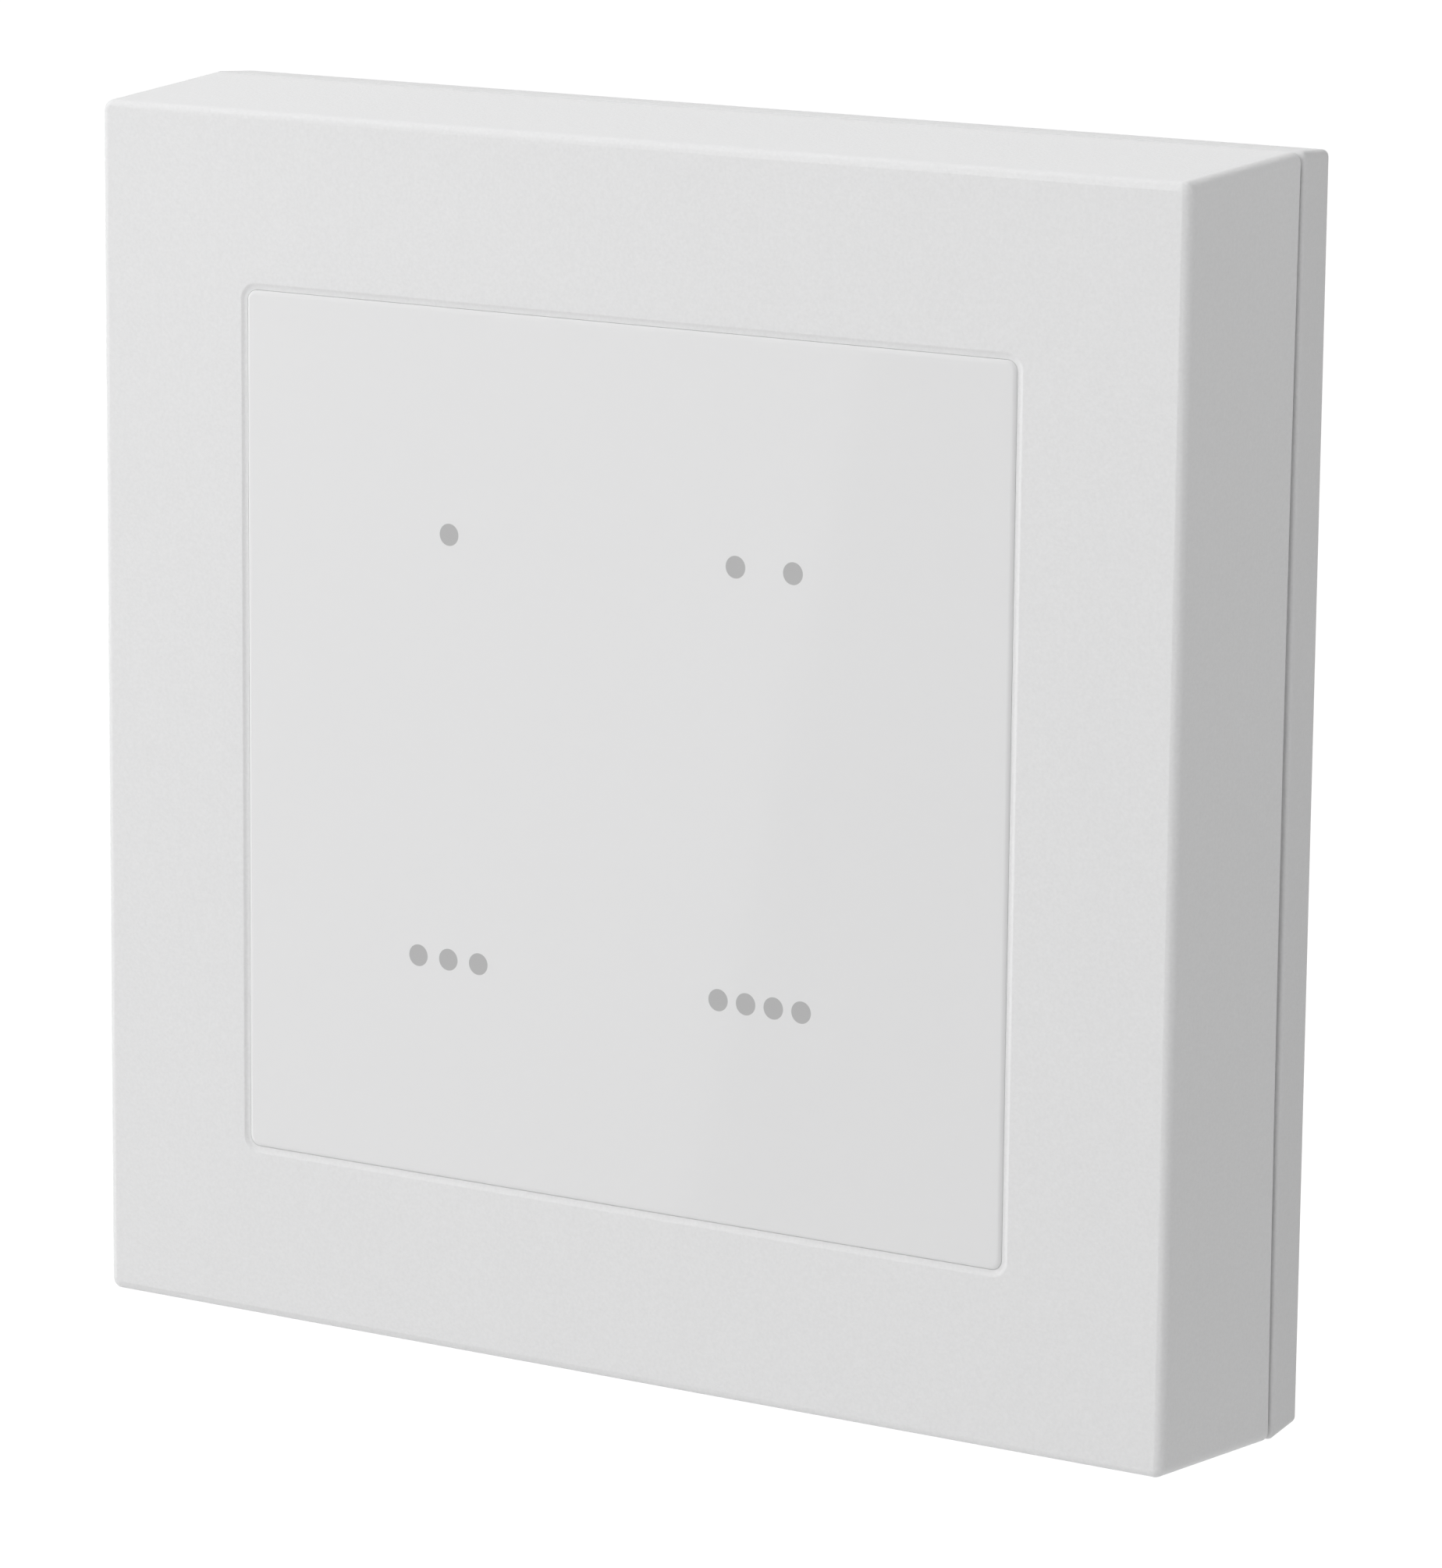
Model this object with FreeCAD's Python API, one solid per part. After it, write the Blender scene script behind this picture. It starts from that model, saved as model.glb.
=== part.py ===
import FreeCAD, Part
import math
import os

# Wireless scene switch, a square wall unit with four press zones under one gloss panel.
# Frame: X to the right of someone facing it, Z up, Y into the wall.
# The origin is the centre of the back face, so the wall is the plane Y = 0.
# A place inside the unit is given by its depth behind the front face, in millimetres.

# Front cover and gloss panel
PANEL_W = 55.9          # gloss panel, side of its square
PANEL_T = 1.2
PANEL_R = 0.7           # corner radius of the panel
PANEL_LIP_R = 0.45      # arc of the panel's edge, down to the moat's floor
PANEL_FIT = 0.02        # side gap between the panel and its pocket
GROOVE_FLOOR_W = 0.08   # flat floor of the moat round the panel
GROOVE_DEPTH = 0.12
COVE_R = 0.55           # hollow arc from the moat's floor up to the border
COVE_LIP_R = 0.2        # rounding where that arc meets the border
BORDER_W = 10.907       # matt border from the moat to the edge of the front face
FACE_T = 2.5            # thickness of the front wall
WALL = 2.0              # thickness of the side walls
DRAFT = 0.057           # the sides spread by this much per mm of depth
FRONT_EDGE_R = 0.55     # rounding of the front edges
CORNER_EDGE_R = 0.7     # rounding of the four edges that run back from the corners
TAPE_T = 0.15           # adhesive frame behind the panel
TAPE_MARGIN = 0.25      # bare strip each side of the adhesive frame
LEDGE_W = 2.35          # ledge that carries the panel
WINDOW_R = 1.0

# Printed pips, one to four of them at the centres of the press zones
MARK_D = 1.41
MARK_T = 0.05
MARK_COLUMN_LEFT = -12.5
MARK_COLUMN_RIGHT = 10.6
MARK_ROW = 13.65
MARK_PITCH = {1: 0.0, 2: 4.1, 3: 2.28, 4: 2.0}

# Wall plate
BASE_H = 3.8            # height of the plate's rim above the wall
SEAM_GAP = 0.5          # shadow gap between the cover and the plate, at the corners
SEAM_BOW = 0.3          # the gap is wider by this much in the middle of each side
SEAM_BOW_STEPS = 6
SEAM_DEPTH = 0.55       # floor of the shadow gap, in from the outer faces
RIDGE_T = 0.7           # ridge of the plate that closes the gap behind its floor
RIDGE_GAP = 0.05        # ridge to the cover's rear edge
BASE_TAPER = 0.25       # the rim draws in by this much towards the wall
PLATE_T = 2.0           # floor of the plate
RIM_FRONT_R = 0.3
RIM_BACK_R = 0.3
RIM_CORNER_R = 0.45
LIP_H = 2.15            # locating lip above the rim
LIP_T = 1.1
LIP_GAP = 0.35          # lip to the cover's inner wall, at the seam
SNAP_H = 4.85           # snap arms above the rim
SNAP_W = 8.0
SNAP_T = 1.1
SNAP_X = 18.0
SNAP_SLIT = 0.8
SNAP_LEAN = 0.3         # the arms stand back from the lip's outer face by this much
SNAP_BEAD_H = 1.0
SNAP_BEAD_GAP = 0.03    # bead to the cover's wall beside the recess
DETENT_DEPTH = 0.3      # recess in the cover's wall behind each bead
DETENT_PLAY = 0.4
SLOT_W = 4.2            # wall screw slots
SLOT_L = 7.0
SCREW_SPACING = 60.0    # spacing of the fixing screws of a wall box
BACK_RECESS = 0.6       # hollow in the back, round the slots' pads
BACK_RIM_W = 6.0
PAD_D = 14.0

# Press keys and their frame
KEY_PANEL_GAP = 0.1
KEY_T = 1.6
KEY_GAP = 0.3           # play round each key
KEY_CORNER_R = 0.8
EAR_T = 1.2
EAR_Z0 = 1.9            # inner face of the hinge ears, from the middle
EAR_H = 2.6
HINGE_Z = 3.2           # hinge line of a key, from the middle
HINGE_DEPTH = 1.9       # hinge line behind the front wall
PIN_D = 1.6
PIN_L = 1.1
PIN_CLEARANCE = 0.05
PIN_END_GAP = 0.1
EAR_BACK = 0.9          # ear behind the hinge line
PUSHER_L = 1.25
PUSHER_W = 3.0
PUSHER_T = 1.2
PUSHER_GAP = 0.05
KEY_RIB_T = 1.0
KEY_RIB_H = 0.8
CROSS_RIB_W = 2.4
CROSS_RIB_Z = 1.6       # the rib that runs left to right is thinner
CROSS_RIB_GAP = 0.4     # cross ribs behind the panel
CROSS_RIB_BACK = 1.0    # cross ribs behind the hinge line
FRAME_GAP = 0.3         # frame's inner wall to the edge of the window
FRAME_WALL = 2.4
FRAME_CORNER_R = 1.0
FRAME_EAR = 10.0
FRAME_EAR_T = 1.6

# Circuit board and the parts on it
PCB_T = 1.6
PCB_GAP = 0.8           # board to the snap arms
PCB_R = 2.0
SWITCH_W = 6.0
HOUSING_H = 3.3
LID_T = 0.2
PLUNGER_D = 3.5
PLUNGER_CLEARANCE = 0.05
PLUNGER_OUT = 0.8
PLUNGER_L = 2.6
PLUNGER_ROOM = 0.8      # chamber behind the plunger
BOSS_INSET = 2.2        # screw bosses in from the board's corners
BOSS_D = 5.0
SCREW_D = 1.9
SCREW_CLEARANCE = 0.1
SCREW_L = 6.0
SCREW_HEAD_D = 3.8
SCREW_HEAD_H = 1.4
SCREW_CROSS = 0.5
BOSS_PILOT_CLEARANCE = 0.05
BOSS_FLOOR = 0.9
MODULE_X = 15.0
MODULE_Z = 18.0
MODULE_T = 0.8
SHIELD_X = 12.0
SHIELD_Z = 12.0
SHIELD_H = 1.8
SHIELD_WALL = 0.2
RADIO_CHIP_W = 5.0
RADIO_CHIP_T = 0.85
CHIP_W = 7.0
CHIP_T = 0.9
PACKAGE_CHAMFER = 0.1
CHIP_Z = -19.0
CRYSTAL_X = 3.2
CRYSTAL_Z = 2.5
CRYSTAL_T = 0.8
CRYSTAL_AT = 7.5
CAPACITOR_X = 2.0
CAPACITOR_Z = 1.25
CAPACITOR_T = 0.9
CAPACITOR_PITCH = 3.2
CAPACITOR_COUNT = 4
ANTENNA_D = 0.8
ANTENNA_RUN = 44.0
ANTENNA_BEND_R = 1.6
ANTENNA_RISE = 1.6      # axis of the wire above the board
PAIRING_X = 22.0
PAIRING_Z = -22.0

# Coin cell and its holder, on the back of the board
CELL_D = 20.0
CELL_T = 3.2
CELL_EDGE_R = 0.35
CELL_CAP_D = 17.6
CELL_STEP = 0.25
CELL_GAP = 0.15
HOLDER_FLOOR = 0.8
HOLDER_WALL = 1.85
HOLDER_RISE = 3.0
CONTACT_T = 0.2
CONTACT_W = 4.0
CONTACT_L = 14.0
CONTACT_GAP = 0.05
CLIP_T = 0.3
CLIP_W = 5.0
CLIP_INSET = 5.5        # middle of the bridge, in from the holder's right side
BACK_GAP = 0.3          # clip to the floor of the wall plate

# Places that follow from the sizes above
half_panel = PANEL_W / 2
lip_reach = math.sqrt(PANEL_LIP_R**2 - (PANEL_LIP_R - GROOVE_DEPTH)**2)
cove_reach = math.sqrt(COVE_R**2 - (COVE_R - GROOVE_DEPTH)**2)
half_groove_floor = half_panel + GROOVE_FLOOR_W
half_opening = half_groove_floor + cove_reach
half_window = half_panel - LEDGE_W
half_front = half_opening + BORDER_W

depth_ledge = PANEL_T + TAPE_T
depth_key_front = PANEL_T + KEY_PANEL_GAP
depth_key_back = depth_key_front + KEY_T
depth_hinge = FACE_T + HINGE_DEPTH
depth_ear_back = depth_hinge + EAR_BACK
depth_plunger_top = depth_key_back + PUSHER_L + PUSHER_GAP
depth_lid = depth_plunger_top + PLUNGER_OUT
depth_housing = depth_lid + LID_T
depth_pcb_front = depth_housing + HOUSING_H
depth_pcb_back = depth_pcb_front + PCB_T
depth_contact = depth_pcb_back + HOLDER_FLOOR
depth_cell_front = depth_contact + CONTACT_T + CONTACT_GAP
depth_cell_back = depth_cell_front + CELL_T
depth_clip = depth_cell_back + CONTACT_GAP
depth_floor = depth_clip + CLIP_T + BACK_GAP
DEPTH = depth_floor + PLATE_T

depth_seam = DEPTH - BASE_H
depth_cover_end = depth_seam - SEAM_GAP
half_cover_end = half_front + DRAFT * depth_cover_end
half_seam = half_front + DRAFT * depth_seam
half_lip = half_cover_end - WALL - LIP_GAP
half_snap = half_lip - SNAP_LEAN
half_snap_inside = half_snap - SNAP_T
half_pcb = half_snap_inside - PCB_GAP
boss_at = half_pcb - BOSS_INSET
frame_inside = half_window - FRAME_GAP
frame_outside = frame_inside + FRAME_WALL
key_inside = CROSS_RIB_W / 2 + KEY_GAP
key_outside = frame_inside - KEY_GAP
corners = [(sx, sz) for sx in (-1, 1) for sz in (-1, 1)]

# Key number: side in X, side in Z. One pip is top left and four are bottom right.
KEYS = {1: (-1, 1), 2: (1, 1), 3: (-1, -1), 4: (1, -1)}


def y_at(depth):
    """Y of a place at this depth behind the front face."""
    return depth - DEPTH


def vec(x, depth, z):
    return FreeCAD.Vector(x, y_at(depth), z)


def box(x0, x1, depth0, depth1, z0, z1):
    x0, x1 = min(x0, x1), max(x0, x1)
    z0, z1 = min(z0, z1), max(z0, z1)
    return Part.makeBox(x1 - x0, depth1 - depth0, z1 - z0, vec(x0, depth0, z0))


def disc(x, z, diameter, depth0, depth1):
    """Round bar along Y."""
    return Part.makeCylinder(diameter / 2, depth1 - depth0, vec(x, depth0, z), FreeCAD.Vector(0, 1, 0))


def bar_x(x0, x1, depth, z, diameter):
    """Round bar along X."""
    low, high = min(x0, x1), max(x0, x1)
    return Part.makeCylinder(diameter / 2, high - low, vec(low, depth, z), FreeCAD.Vector(1, 0, 0))


def edges_along_y(shape):
    found = []
    for edge in shape.Edges:
        ends = edge.BoundBox
        if ends.YLength > 10 * max(ends.XLength, ends.ZLength, 0.001):
            found.append(edge)
    return found


def edges_at_depth(shape, depth, half_limit=None):
    """Edges that lie in the plane at this depth, within half_limit of the axis if it is given."""
    found = []
    for edge in shape.Edges:
        ends = edge.BoundBox
        flat = abs(ends.YMin - y_at(depth)) < 0.001 and abs(ends.YMax - y_at(depth)) < 0.001
        reach = max(abs(ends.XMin), abs(ends.XMax), abs(ends.ZMin), abs(ends.ZMax))
        if flat and (half_limit is None or reach < half_limit):
            found.append(edge)
    return found


def slab(half_x, half_z, radius, depth0, depth1):
    """Plate square to Y with rounded corners, centred on the axis."""
    plate = box(-half_x, half_x, depth0, depth1, -half_z, half_z)
    return plate.makeFillet(radius, edges_along_y(plate))


def frustum(depth0, half0, depth1, half1):
    """Square block whose sides slope from half0 at depth0 to half1 at depth1."""
    wires = []
    for depth, half in ((depth0, half0), (depth1, half1)):
        turns = ((-1, -1), (1, -1), (1, 1), (-1, 1), (-1, -1))
        wires.append(Part.makePolygon([vec(sx * half, depth, sz * half) for sx, sz in turns]))
    return Part.makeLoft(wires, True, True)


def fuse(first, *others):
    return first.fuse(list(others)).removeSplitter()


def cut(shape, tools):
    return shape.cut(tools) if tools else shape


def cover_inner_half(depth):
    """Half width between the cover's side walls at this depth."""
    return half_front + DRAFT * depth - WALL


def mark_positions(number):
    """Centres of the pips of one press zone, in a row."""
    column, row = key_centre(number)
    first = column - MARK_PITCH[number] * (number - 1) / 2
    return [(first + MARK_PITCH[number] * step, row) for step in range(number)]


def key_centre(number):
    """Centre of a press zone, where its pips are printed and its switch sits."""
    side_x, side_z = KEYS[number]
    column = MARK_COLUMN_LEFT if side_x < 0 else MARK_COLUMN_RIGHT
    return column, side_z * MARK_ROW


def front_cover():
    """Matt shell with the moat, the panel's pocket, the window behind it and four screw bosses."""
    shell = frustum(0, half_front, depth_cover_end, half_cover_end)
    sides = [e for e in shell.Edges if e.BoundBox.YLength > depth_cover_end / 2]
    shell = shell.makeFillet(CORNER_EDGE_R, sides)
    shell = shell.makeFillet(FRONT_EDGE_R, edges_at_depth(shell, 0))
    cavity = frustum(FACE_T, cover_inner_half(FACE_T), DEPTH, cover_inner_half(DEPTH))
    shell = shell.cut(cavity)
    half_moat = half_groove_floor + COVE_R
    moat = slab(half_moat, half_moat, PANEL_R + GROOVE_FLOOR_W + COVE_R, GROOVE_DEPTH - 2 * COVE_R, GROOVE_DEPTH)
    moat = moat.makeFillet(COVE_R, edges_at_depth(moat, GROOVE_DEPTH))
    shell = shell.cut(moat)
    shell = shell.makeFillet(COVE_LIP_R, edges_at_depth(shell, 0, half_opening + 0.01))
    pocket = half_panel + PANEL_FIT
    shell = shell.cut(slab(pocket, pocket, PANEL_R + PANEL_FIT, -1, depth_ledge))
    shell = shell.cut(slab(half_window, half_window, WINDOW_R, -1, FACE_T + 1))
    shell = fuse(shell, *at_bosses(BOSS_D, FACE_T, depth_pcb_front - FRAME_EAR_T))
    pilot = SCREW_D + 2 * BOSS_PILOT_CLEARANCE
    return cut(shell, at_bosses(pilot, FACE_T + BOSS_FLOOR, depth_pcb_front) + detents() + seam_bows())


def at_bosses(diameter, depth0, depth1):
    """Four round bars on the axes of the screws."""
    return [disc(sx * boss_at, sz * boss_at, diameter, depth0, depth1) for sx, sz in corners]


def seam_bows():
    """Slivers off the outer rear edge of the four side walls, deepest in the middle of each side."""
    end = depth_cover_end
    inside = half_cover_end - SEAM_DEPTH
    outline = [vec(half_cover_end, end + 1, inside), vec(-half_cover_end, end + 1, inside)]
    for step in range(-SEAM_BOW_STEPS, SEAM_BOW_STEPS + 1):
        along = step / SEAM_BOW_STEPS
        outline.append(vec(half_cover_end * along, end - SEAM_BOW * (1 - along**2), inside))
    profile = Part.Face(Part.makePolygon(outline + outline[:1]))
    sliver = profile.extrude(FreeCAD.Vector(0, 0, WALL + 2))
    found = []
    for turn in (0, 90, 180, 270):
        found.append(sliver.rotated(FreeCAD.Vector(0, 0, 0), FreeCAD.Vector(0, 1, 0), turn))
    return found


def detents():
    """Recesses in the inner walls that face the snap beads."""
    tip = depth_seam - SNAP_H
    reach = SNAP_W / 2 + DETENT_PLAY
    found = []
    for sx, sz in corners:
        inner = cover_inner_half(tip + SNAP_BEAD_H / 2)
        low, high = sx * SNAP_X - reach, sx * SNAP_X + reach
        front, back = tip - DETENT_PLAY, tip + SNAP_BEAD_H + DETENT_PLAY
        found.append(box(low, high, front, back, sz * (inner - DETENT_DEPTH), sz * (inner + DETENT_DEPTH)))
    return found


def front_panel():
    """Gloss plate, flush with the border, with shallow seats for the printed pips."""
    spare = PANEL_LIP_R - lip_reach
    wide = slab(half_panel + spare, half_panel + spare, PANEL_R + spare, 0, PANEL_T)
    wide = wide.makeFillet(PANEL_LIP_R, edges_at_depth(wide, 0))
    plate = wide.common(slab(half_panel, half_panel, PANEL_R, 0, PANEL_T))
    return cut(plate, mark_discs())


def mark_discs():
    return [disc(x, z, MARK_D, 0, MARK_T) for number in KEYS for x, z in mark_positions(number)]


def panel_marks():
    return Part.makeCompound(mark_discs())


def panel_tape():
    """Adhesive frame that bonds the panel to its ledge."""
    outside = half_panel - TAPE_MARGIN
    inside = half_window + TAPE_MARGIN
    ring = slab(outside, outside, PANEL_R - TAPE_MARGIN, PANEL_T, depth_ledge)
    return ring.cut(slab(inside, inside, WINDOW_R + TAPE_MARGIN, PANEL_T - 1, depth_ledge + 1))


def key_frame():
    """Carrier with the hinge bores of the four keys, held by the screws between cover and board."""
    ring = slab(frame_outside, frame_outside, FRAME_CORNER_R, FACE_T, depth_pcb_front)
    ring = ring.cut(slab(frame_inside, frame_inside, FRAME_CORNER_R, FACE_T - 1, depth_pcb_front + 1))
    half_x, half_z = CROSS_RIB_W / 2, CROSS_RIB_Z / 2
    front = depth_ledge + CROSS_RIB_GAP
    back = depth_hinge + CROSS_RIB_BACK
    into_ring = frame_inside + FRAME_WALL / 2
    parts = [box(-half_x, half_x, front, back, -frame_inside, frame_inside),
             box(-half_x, half_x, FACE_T, back, -into_ring, into_ring),
             box(-frame_inside, frame_inside, front, back, -half_z, half_z),
             box(-into_ring, into_ring, FACE_T, back, -half_z, half_z)]
    ear_front = depth_pcb_front - FRAME_EAR_T
    outer = boss_at + BOSS_INSET
    inner = outer - FRAME_EAR
    for sx, sz in corners:
        parts.append(box(sx * inner, sx * outer, ear_front, depth_pcb_front, sz * inner, sz * outer))
    frame = fuse(ring, *parts)
    bores = []
    bore = PIN_D + 2 * PIN_CLEARANCE
    for number, (sx, sz) in KEYS.items():
        z = sz * HINGE_Z
        inner_end = key_inside - PIN_L - PIN_END_GAP
        outer_end = key_outside + PIN_L + PIN_END_GAP
        bores.append(bar_x(sx * inner_end, sx * key_inside, depth_hinge, z, bore))
        bores.append(bar_x(sx * key_outside, sx * outer_end, depth_hinge, z, bore))
    hole = SCREW_D + 2 * SCREW_CLEARANCE
    return cut(frame, bores + at_bosses(hole, FACE_T, depth_pcb_front + 1))


def key(number):
    """Moulded paddle with two hinge ears and a round-nosed pusher over its switch."""
    sx, sz = KEYS[number]
    column, row = key_centre(number)
    plate = box(sx * key_inside, sx * key_outside, depth_key_front, depth_key_back,
                sz * key_inside, sz * key_outside)
    plate = plate.makeFillet(KEY_CORNER_R, edges_along_y(plate))
    ear_z = (sz * EAR_Z0, sz * (EAR_Z0 + EAR_H))
    inner_ear = (sx * key_inside, sx * (key_inside + EAR_T))
    outer_ear = (sx * (key_outside - EAR_T), sx * key_outside)
    sunk = depth_key_back - KEY_T / 2
    parts = [box(*ear, sunk, depth_ear_back, *ear_z) for ear in (inner_ear, outer_ear)]
    z = sz * HINGE_Z
    parts.append(bar_x(sx * (key_inside - PIN_L), sx * (key_inside + EAR_T), depth_hinge, z, PIN_D))
    parts.append(bar_x(sx * (key_outside - EAR_T), sx * (key_outside + PIN_L), depth_hinge, z, PIN_D))
    nose = depth_key_back + PUSHER_L - PUSHER_T / 2
    half = PUSHER_W / 2
    parts.append(box(column - half, column + half, sunk, nose, row - PUSHER_T / 2, row + PUSHER_T / 2))
    parts.append(bar_x(column - half, column + half, nose, row, PUSHER_T))
    rib = KEY_RIB_T / 2
    parts.append(box(column - rib, column + rib, sunk, depth_key_back + KEY_RIB_H, z, row))
    far = sz * (key_outside - KEY_CORNER_R - rib)
    wide = (sx * (key_inside + KEY_CORNER_R), sx * (key_outside - KEY_CORNER_R))
    parts.append(box(*wide, sunk, depth_key_back + KEY_RIB_H, far - rib, far + rib))
    return fuse(plate, *parts)


def circuit_board():
    board = slab(half_pcb, half_pcb, PCB_R, depth_pcb_front, depth_pcb_back)
    hole = SCREW_D + 2 * SCREW_CLEARANCE
    return cut(board, at_bosses(hole, depth_pcb_front - 1, depth_pcb_back + 1))


def switch_piece(piece, x, z, depth_base, facing):
    """One piece of a tactile switch: facing is -1 towards the front and 1 towards the wall."""
    def span(near, far):
        """Depths of a stretch between two heights above the board, lower depth first."""
        ends = (depth_base + facing * near, depth_base + facing * far)
        return min(ends), max(ends)
    half = SWITCH_W / 2
    top = HOUSING_H + LID_T
    if piece == "housing":
        block = box(x - half, x + half, *span(0, HOUSING_H), z - half, z + half)
        block = block.makeFillet(0.4, edges_along_y(block))
        chamber = HOUSING_H + LID_T + PLUNGER_OUT - PLUNGER_L - PLUNGER_ROOM
        return block.cut(disc(x, z, PLUNGER_D + 2 * PLUNGER_CLEARANCE, *span(chamber, top + 1)))
    if piece == "lid":
        block = box(x - half, x + half, *span(HOUSING_H, top), z - half, z + half)
        block = block.makeFillet(0.4, edges_along_y(block))
        return block.cut(disc(x, z, PLUNGER_D + 2 * PLUNGER_CLEARANCE, *span(HOUSING_H - 1, top + 1)))
    stem = disc(x, z, PLUNGER_D, *span(top + PLUNGER_OUT - PLUNGER_L, top + PLUNGER_OUT))
    tip = depth_base + facing * (top + PLUNGER_OUT)
    return stem.makeChamfer(0.2, edges_at_depth(stem, tip))


def radio_module():
    front = depth_pcb_front - MODULE_T
    return slab(MODULE_X / 2, MODULE_Z / 2, 0.3, front, depth_pcb_front)


def radio_shield():
    """Folded tin can over the radio, open at the back."""
    back = depth_pcb_front - MODULE_T
    front = back - SHIELD_H
    can = slab(SHIELD_X / 2, SHIELD_Z / 2, 0.5, front, back)
    can = can.makeFillet(0.15, edges_at_depth(can, front))
    hollow = slab(SHIELD_X / 2 - SHIELD_WALL, SHIELD_Z / 2 - SHIELD_WALL, 0.3, front + SHIELD_WALL, back + 1)
    return can.cut(hollow)


def small_part(x, z, width, height, thickness, depth_base=None):
    """Little moulded package that faces the front, on the board unless depth_base is given."""
    back = depth_pcb_front if depth_base is None else depth_base
    front = back - thickness
    block = box(x - width / 2, x + width / 2, front, back, z - height / 2, z + height / 2)
    return block.makeChamfer(PACKAGE_CHAMFER, edges_at_depth(block, front))


def capacitors():
    first = -CAPACITOR_PITCH * (CAPACITOR_COUNT - 1) / 2
    row = CHIP_Z + CHIP_W / 2 + CAPACITOR_Z * 1.5
    places = [first + CAPACITOR_PITCH * step for step in range(CAPACITOR_COUNT)]
    return Part.makeCompound([small_part(x, row, CAPACITOR_X, CAPACITOR_Z, CAPACITOR_T) for x in places])


def antenna_wire():
    """Bent wire along the top edge of the board, with both feet on the board."""
    z = (frame_outside + half_pcb) / 2
    rise = depth_pcb_front - ANTENNA_RISE
    side = ANTENNA_RUN / 2
    r = ANTENNA_BEND_R
    turn = r * (1 - math.sqrt(0.5))
    foot_l = vec(-side, depth_pcb_front, z)
    start_l = vec(-side, rise + r, z)
    middle_l = vec(-side + turn, rise + turn, z)
    end_l = vec(-side + r, rise, z)
    start_r = vec(side - r, rise, z)
    middle_r = vec(side - turn, rise + turn, z)
    end_r = vec(side, rise + r, z)
    foot_r = vec(side, depth_pcb_front, z)
    edges = [Part.Arc(start_l, middle_l, end_l).toShape(),
             Part.LineSegment(end_l, start_r).toShape(),
             Part.Arc(start_r, middle_r, end_r).toShape()]
    if (foot_l - start_l).Length > 0.01:
        edges = ([Part.LineSegment(foot_l, start_l).toShape()] + edges
                 + [Part.LineSegment(end_r, foot_r).toShape()])
    path = Part.Wire(edges)
    start = edges[0].Vertexes[0].Point
    ring = Part.Wire(Part.makeCircle(ANTENNA_D / 2, start, FreeCAD.Vector(0, 1, 0)))
    return path.makePipeShell([ring], True, False)


def battery_holder():
    """Cradle round the coin cell, open to the left so that the cell slides out."""
    outer = CELL_D / 2 + CELL_GAP + HOLDER_WALL
    back = depth_contact + HOLDER_RISE
    cradle = slab(outer, outer, 1.5, depth_pcb_back, back)
    pocket = CELL_D + 2 * CELL_GAP
    cradle = cradle.cut(disc(0, 0, pocket, depth_contact, back + 1))
    way_out = box(-outer - 1, 0, depth_contact, back + 1, -pocket / 2, pocket / 2)
    return cradle.cut(way_out)


def negative_contact():
    """Flat contact strip on the floor of the holder."""
    half = CONTACT_W / 2
    strip = box(-CONTACT_L / 2, CONTACT_L / 2, depth_contact, depth_contact + CONTACT_T, -half, half)
    return strip.makeFillet(0.8, edges_along_y(strip))


def positive_contact():
    """Bridge over the cell, bent down on both sides of the holder to the board."""
    side = CELL_D / 2 + CELL_GAP + HOLDER_WALL
    outer = side + CLIP_T
    middle = side - CLIP_INSET
    low, high = middle - CLIP_W / 2, middle + CLIP_W / 2
    bridge = box(low, high, depth_clip, depth_clip + CLIP_T, -outer, outer)
    legs = [box(low, high, depth_pcb_back, depth_clip + CLIP_T, sz * side, sz * outer) for sz in (-1, 1)]
    return fuse(bridge, *legs)


def coin_cell():
    """Coin cell with its can towards the wall and its smaller cap towards the board."""
    can = disc(0, 0, CELL_D, depth_cell_front + CELL_STEP, depth_cell_back)
    can = can.makeFillet(CELL_EDGE_R, edges_at_depth(can, depth_cell_back))
    cap = disc(0, 0, CELL_CAP_D, depth_cell_front, depth_cell_front + CELL_STEP)
    return fuse(can, cap)


def assembly_screws():
    """Four cross-head screws through the board and the frame's ears into the cover's bosses."""
    screws = []
    head_end = depth_pcb_back + SCREW_HEAD_H
    for sx, sz in corners:
        x, z = sx * boss_at, sz * boss_at
        shank = disc(x, z, SCREW_D, depth_pcb_back - SCREW_L, depth_pcb_back)
        head = disc(x, z, SCREW_HEAD_D, depth_pcb_back, head_end)
        head = head.makeFillet(SCREW_HEAD_H / 2, edges_at_depth(head, head_end))
        screw = fuse(shank, head)
        arm = SCREW_HEAD_D / 3
        thin = SCREW_CROSS / 2
        low = head_end - SCREW_HEAD_H / 2
        cross = [box(x - arm, x + arm, low, head_end + 1, z - thin, z + thin),
                 box(x - thin, x + thin, low, head_end + 1, z - arm, z + arm)]
        screws.append(cut(screw, cross))
    return Part.makeCompound(screws)


def snap_arm(sx, sz):
    """Springy arm of the wall plate, with a bead that faces the cover's wall."""
    low, high = sx * SNAP_X - SNAP_W / 2, sx * SNAP_X + SNAP_W / 2
    tip = depth_seam - SNAP_H
    arm = box(low, high, tip, depth_floor + PLATE_T / 2, sz * half_snap_inside, sz * half_snap)
    middle = tip + SNAP_BEAD_H / 2
    crest = sz * (cover_inner_half(middle) - SNAP_BEAD_GAP)
    root = sz * half_snap
    outline = [vec(low, tip, root), vec(low, middle, crest), vec(low, tip + SNAP_BEAD_H, root),
               vec(low, middle, sz * half_snap_inside)]
    profile = Part.Face(Part.makePolygon(outline + outline[:1]))
    bead = profile.extrude(FreeCAD.Vector(SNAP_W, 0, 0))
    return fuse(arm, bead)


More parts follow.
